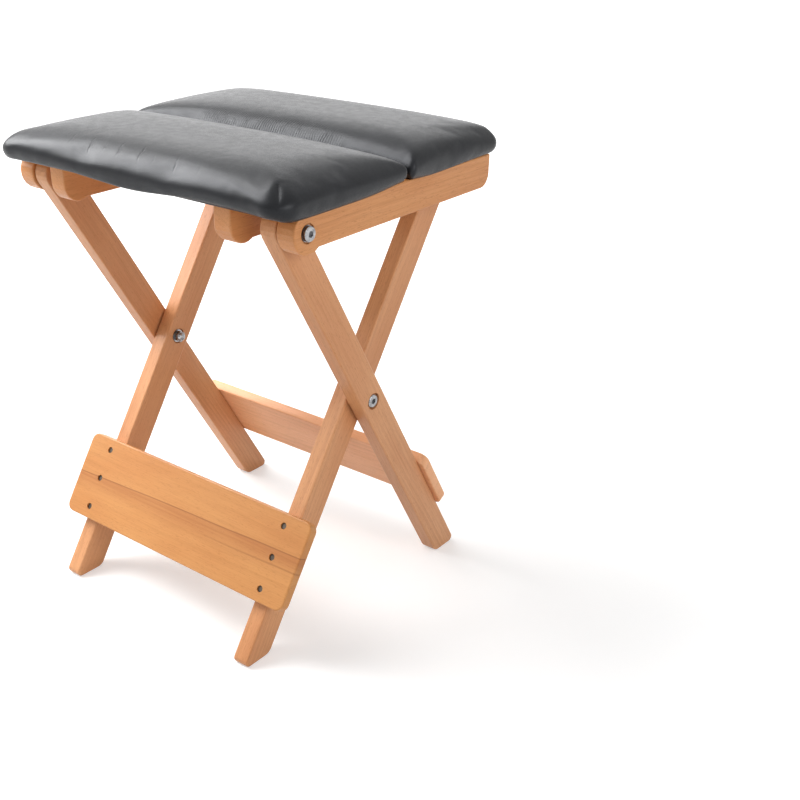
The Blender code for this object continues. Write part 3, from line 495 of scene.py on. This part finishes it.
class Cushion:
    """One half of the seat: a grid over the top, rings down the side, and a board's pocket."""

    def __init__(self, name):
        low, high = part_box(name)
        self.name = name
        self.low = np.array(low) / MM
        self.high = np.array(high) / MM
        self.is_front = name == "front_cushion"
        self.front_radius, self.back_radius = CORNER_RADII[name]
        self.make_grid()
        self.make_sides()

    def crown_height(self, x, y, rise):
        """The top's height at distances x and y from the left and the front border."""
        size = self.high - self.low
        left, right = SHOULDERS_ACROSS[self.name]
        front, back = SHOULDERS_ALONG[self.name]
        shares = (x / left, (size[0] - x) / right, y / front, (size[1] - y) / back)
        blend = sum(np.maximum(share, 1e-7) ** -CORNER_BLEND for share in shares)
        left_over = 1 - np.clip(blend ** (-1 / CORNER_BLEND), 0, 1)
        swell = (1 - left_over ** SQUARENESS) ** (1 / SQUARENESS)
        start = BULGE_HEIGHT + rise
        return start + (CROWN - start) * swell

    def drop(self, points, out):
        """How far the lower edge hangs beside border points whose outward direction is out."""
        meeting = self.high[1] if self.is_front else self.low[1]
        away = np.clip((np.abs(points[:, 1] - meeting) - DROP_STARTS) / DROP_RUN, 0, 1)
        ends = FRONT_DROP if self.is_front else BACK_DROP
        along_end = np.interp(points[:, 0], *zip(*ends))
        along_side = np.interp(points[:, 1], *zip(*SIDE_DROP))
        share = out[:, 1] ** 2
        drop = (share * along_end + (1 - share) * along_side) * away * away * (3 - 2 * away)
        window = np.hanning(DROP_WINDOW)
        half = DROP_WINDOW // 2
        wrapped = np.concatenate([drop[-half:], drop, drop[:half]])
        return np.convolve(wrapped, window / window.sum(), "valid")

    def make_grid(self):
        size = self.high - self.low
        xs = inset_lines(size[0], SHOULDERS_ACROSS[self.name])
        ys = inset_lines(size[1], SHOULDERS_ALONG[self.name])
        x, y = np.meshgrid(xs, ys)
        shape_x, shape_y = x, y
        inset_x = np.minimum(x, size[0] - x)
        inset_y = np.minimum(y, size[1] - y)
        radius = np.where(y < size[1] / 2, self.front_radius, self.back_radius)
        dx, dy = radius - inset_x, radius - inset_y
        corner = (dx > 0) & (dy > 0)
        shrink = np.where(corner, np.maximum(dx, dy) / np.maximum(np.hypot(dx, dy), 1e-9), 1.0)
        inset_x = np.where(corner, radius - dx * shrink, inset_x)
        inset_y = np.where(corner, radius - dy * shrink, inset_y)
        x = np.where(x < size[0] / 2, inset_x, size[0] - inset_x)
        y = np.where(y < size[1] / 2, inset_y, size[1] - inset_y)
        flat = np.stack([x + self.low[0], y + self.low[1]], -1).reshape(-1, 2)
        index = np.arange(len(flat)).reshape(len(ys), len(xs))
        self.border = np.concatenate(
            [index[0, :-1], index[:-1, -1], index[-1, :0:-1], index[:0:-1, 0]]
        )
        edge = flat[self.border]
        self.out = self.outward(edge)
        self.edge_drop = self.drop(edge, self.out)
        gaps = np.abs(flat[:, None, :] - edge[None, :, :]).sum(-1)
        nearest = gaps.argmin(1)
        rise = -RISE_SHARE * np.minimum(self.edge_drop, 0)[nearest]
        z = self.crown_height(shape_x.ravel(), shape_y.ravel(), rise) + self.low[2]
        self.points = np.concatenate([flat, z[:, None]], 1)
        self.faces = np.stack(
            [index[:-1, :-1], index[:-1, 1:], index[1:, 1:], index[1:, :-1]], -1
        ).reshape(-1, 4).tolist()
        self.top_count = len(self.points)

    def outward(self, points):
        """Each border point's outward direction in plan."""
        size = self.high - self.low
        x, y = points[:, 0] - self.low[0], points[:, 1] - self.low[1]
        radius = np.where(y < size[1] / 2, self.front_radius, self.back_radius)
        centre_x = np.clip(x, radius, size[0] - radius)
        centre_y = np.clip(y, radius, size[1] - radius)
        out = np.stack([x - centre_x, y - centre_y], -1)
        return out / np.linalg.norm(out, axis=1)[:, None]

    def make_sides(self):
        edge, out = self.points[self.border], self.out
        base = self.low[2]
        rings = []
        for step in range(1, SIDE_STEPS + 1):
            angle = math.pi / 2 * step / SIDE_STEPS
            ring = edge.copy()
            ring[:, :2] -= out * DRAW_IN * (1 - math.cos(angle))
            fall = edge[:, 2] - base + self.edge_drop
            ring[:, 2] = edge[:, 2] - fall * math.sin(angle)
            rings.append(ring)
        for inset, height in ((LIP_INNER, 0.0), (POCKET_INSET, 0.0), (POCKET_INSET, POCKET_DEPTH)):
            ring = edge.copy()
            ring[:, :2] -= out * inset
            ring[:, 2] = base + height
            rings.append(ring)
        count = len(self.border)
        start = self.border
        for ring in rings:
            following = len(self.points) + np.arange(count)
            self.points = np.concatenate([self.points, ring])
            shifted = np.roll(start, -1), np.roll(following, -1)
            self.faces += np.stack([start, following, shifted[1], shifted[0]], -1).tolist()
            start = following
        self.faces.append(start.tolist())

    def build(self):
        mesh = bpy.data.meshes.new(self.name + "_leather")
        mesh.from_pydata((self.points * MM).tolist(), [], self.faces)
        mesh.validate()
        mesh.update()
        self.obj = bpy.data.objects.new(self.name + "_leather", mesh)
        bpy.context.scene.collection.objects.link(self.obj)

    def pinned(self):
        """The indices that the simulation leaves in place."""
        free = self.top_count + PIN_FROM_STEP * len(self.border)
        return range(free, len(self.points))

    def puff(self):
        """Blows the skin up a little as cloth, and keeps the moves under the cap."""
        group = self.obj.vertex_groups.new(name="pin")
        group.add(list(self.pinned()), 1.0, "REPLACE")
        cloth = self.obj.modifiers.new("Cloth", "CLOTH")
        for setting, value in CLOTH.items():
            setattr(cloth.settings, setting, value)
        cloth.settings.vertex_group_mass = "pin"
        cloth.settings.effector_weights.gravity = 0.0
        cloth.collision_settings.use_collision = False
        cloth.point_cache.frame_start = 1
        cloth.point_cache.frame_end = PUFF_FRAMES
        scene = bpy.context.scene
        for frame in range(1, PUFF_FRAMES + 1):
            scene.frame_set(frame)
        graph = bpy.context.evaluated_depsgraph_get()
        solved = self.obj.evaluated_get(graph).data
        moved = np.empty(len(solved.vertices) * 3, np.float32)
        solved.vertices.foreach_get("co", moved)
        moved = moved.reshape(-1, 3).astype(float) / MM
        self.obj.modifiers.remove(cloth)
        self.obj.vertex_groups.remove(group)
        scene.frame_set(1)
        shift = moved - self.points
        broad = self.smoothed(shift)
        shift = self.corner_share() * broad + self.wrinkle_share() * (shift - broad)
        length = np.linalg.norm(shift, axis=1)
        soft = PUFF_CAP * np.tanh(length / PUFF_CAP)
        shift *= (soft / np.maximum(length, 1e-9))[:, None]
        self.points = self.points + shift

    def cornerness(self):
        """0 away from the borders, up to 1 along one border and 1.41 at a corner."""
        inset = np.minimum(self.points - self.low, self.high - self.points)[:, :2]
        near = np.clip(WRINKLE_FREE - inset, 0, WRINKLE_FREE)
        return np.hypot(*near.T)[:, None] / WRINKLE_FREE

    def wrinkle_share(self):
        """How much of the fine wrinkling stays: none at the corners."""
        return WRINKLE_SHARE * np.clip(2.6 - 2 * self.cornerness(), 0, 1)

    def corner_share(self):
        """How much of the broad swelling stays: little at the corners, so that they don't pinch."""
        over = np.clip((self.cornerness() - 1) / (math.sqrt(2) - 1), 0, 1)
        return 1 - (1 - CORNER_SWELL) * over * over * (3 - 2 * over)

    def smoothed(self, field):
        """The field averaged with its neighbours' many times over, pinned points held."""
        edges = np.empty(len(self.obj.data.edges) * 2, np.int32)
        self.obj.data.edges.foreach_get("vertices", edges)
        one, other = edges.reshape(-1, 2).T
        start, end = np.concatenate([one, other]), np.concatenate([other, one])
        count = len(self.points)
        neighbours = np.bincount(start, minlength=count)[:, None]
        held = list(self.pinned())
        for _ in range(PUFF_SMOOTHING):
            around = [np.bincount(start, field[end, axis], count) for axis in range(3)]
            field = 0.5 * field + 0.5 * np.stack(around, -1) / neighbours
            field[held] = 0.0
        return field

    def write(self):
        self.obj.data.vertices.foreach_set("co", (self.points * MM).astype(np.float32).ravel())
        self.obj.data.update()


def make_cushions(material):
    for name in CORNER_RADII:
        cushion = Cushion(name)
        cushion.build()
        cushion.puff()
        cushion.write()
        obj = cushion.obj
        obj.data.shade_smooth()
        obj.data.materials.append(material)
        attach(obj, "seat")
        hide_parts(name)


def make_camera():
    data = bpy.data.cameras.new("camera")
    data.sensor_width = SENSOR
    data.lens = FOCAL_PIXELS * SENSOR / PHOTO_SIDE
    data.shift_x = (PHOTO_SIDE / 2 - CENTRE_PIXEL[0]) / PHOTO_SIDE
    data.shift_y = (CENTRE_PIXEL[1] - PHOTO_SIDE / 2) / PHOTO_SIDE
    axes = (Vector(LOOK_RIGHT), Vector(LOOK_UP), -Vector(LOOK_FORWARD))
    matrix = Matrix(axes).transposed().to_4x4()
    matrix.translation = (Vector(EYE) + Vector((0, SLIDE, 0))) * MM
    camera = bpy.data.objects.new("camera", data)
    camera.matrix_world = matrix
    bpy.context.scene.collection.objects.link(camera)
    bpy.context.scene.camera = camera


def make_floor():
    n = Nodes("floor_white")
    n.shader.inputs["Base Color"].default_value = (FLOOR_TONE, FLOOR_TONE, FLOOR_TONE, 1.0)
    n.shader.inputs["Roughness"].default_value = 0.9
    n.shader.inputs["Specular IOR Level"].default_value = 0.1
    path = n.node("ShaderNodeLightPath")
    seen = n.math("MAXIMUM", path.outputs["Is Camera Ray"], path.outputs["Is Glossy Ray"])
    seen = n.math("MAXIMUM", seen, path.outputs["Is Transmission Ray"])
    n.shader.inputs["Emission Color"].default_value = (1.0, 1.0, 1.0, 1.0)
    place = n.place()
    far = n.node("ShaderNodeVectorMath", operation="LENGTH")
    n.link(place, far.inputs[0])
    glow = n.ramp(far.outputs["Value"], *GLOW_REACH, GLOW_NEAR, GLOW_FAR)
    n.link(n.math("MULTIPLY", seen, glow), n.shader.inputs["Emission Strength"])
    mesh = bpy.data.meshes.new("floor")
    corners = [
        (FLOOR_HALF_SIDE * x, FLOOR_HALF_SIDE * y, -FLOOR_DEPTH)
        for x, y in ((-1, -1), (1, -1), (1, 1), (-1, 1))
    ]
    mesh.from_pydata(corners, [], [(0, 1, 2, 3)])
    mesh.materials.append(n.material)
    floor = bpy.data.objects.new("floor", mesh)
    bpy.context.scene.collection.objects.link(floor)


def make_world():
    world = bpy.data.worlds.new("studio")
    world.use_nodes = True
    tree = world.node_tree
    background = tree.nodes["Background"]
    background.inputs["Color"].default_value = (1.0, 1.0, 1.0, 1.0)
    path = tree.nodes.new("ShaderNodeLightPath")
    seen = path.outputs["Is Camera Ray"]
    for ray in ("Is Glossy Ray", "Is Transmission Ray"):
        either = tree.nodes.new("ShaderNodeMath")
        either.operation = "MAXIMUM"
        tree.links.new(seen, either.inputs[0])
        tree.links.new(path.outputs[ray], either.inputs[1])
        seen = either.outputs[0]
    strength = tree.nodes.new("ShaderNodeMapRange")
    tree.links.new(seen, strength.inputs["Value"])
    strength.inputs["To Min"].default_value = AMBIENT
    strength.inputs["To Max"].default_value = 1.0
    tree.links.new(strength.outputs[0], background.inputs["Strength"])
    bpy.context.scene.world = world


def make_lamp(name, place, target, size, power):
    data = bpy.data.lights.new(name, "AREA")
    data.shape = "RECTANGLE"
    data.size, data.size_y = size
    data.energy = power
    lamp = bpy.data.objects.new(name, data)
    lamp.location = place
    lamp.rotation_euler = (Vector(target) - Vector(place)).to_track_quat("-Z", "Y").to_euler()
    lamp.visible_camera = False
    bpy.context.scene.collection.objects.link(lamp)


def main():
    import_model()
    view = bpy.context.scene.view_settings
    view.view_transform = "Standard"

    inner_up = (0, math.cos(INNER_LEAN), math.sin(INNER_LEAN))
    inner_wide = (0, -math.sin(INNER_LEAN), math.cos(INNER_LEAN))
    outer_up = (0, -math.cos(OUTER_LEAN), math.sin(OUTER_LEAN))
    outer_wide = (0, math.sin(OUTER_LEAN), math.cos(OUTER_LEAN))
    up = Vector(inner_up)
    screw_low, screw_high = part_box("front_board_screw_left_3")
    low_edge = up.dot((screw_low + screw_high) / 2) - FRONT_SCREW_RISE
    plated = steel("plated_steel", PLATED_TONE, 0.24)
    rail = wood("rail_beech", (0, 1, 0), (0, 0, 1), RAIL_TONES)
    skin = leather()
    finishes = (
        ("screw", steel("dark_steel", SCREW_TONE, 0.42)),
        ("bolt", plated),
        ("nut", plated),
        ("washer", plated),
        ("spacer", plated),
        ("inner_leg", wood("inner_leg_beech", inner_up, inner_wide, LEG_TONES)),
        ("outer_leg", wood("outer_leg_beech", outer_up, outer_wide, LEG_TONES)),
        ("rail", rail),
        ("leg_rest", rail),
        ("seat_board", plywood()),
        ("front_board", wood("front_board_beech", (1, 0, 0), inner_up, FRONT_BOARD_TONES,
                             ring_pitch=0.011, ring_strength=0.16, band=front_band(low_edge))),
        # The rear board takes the lighter tones, which are painted light
        ("rear_board", wood("rear_board_beech", (1, 0, 0), outer_up, REAR_BOARD_PAINTED_LIGHT_TONES,
                            ring_pitch=0.009, ring_strength=0.25)),
        ("cushion", skin),
    )
    dress_nodes({o.name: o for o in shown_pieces()}, finishes)
    make_cushions(skin)
    make_floor()
    make_world()
    for name, lamp in LAMPS.items():
        make_lamp(name, *lamp)
    make_camera()


main()
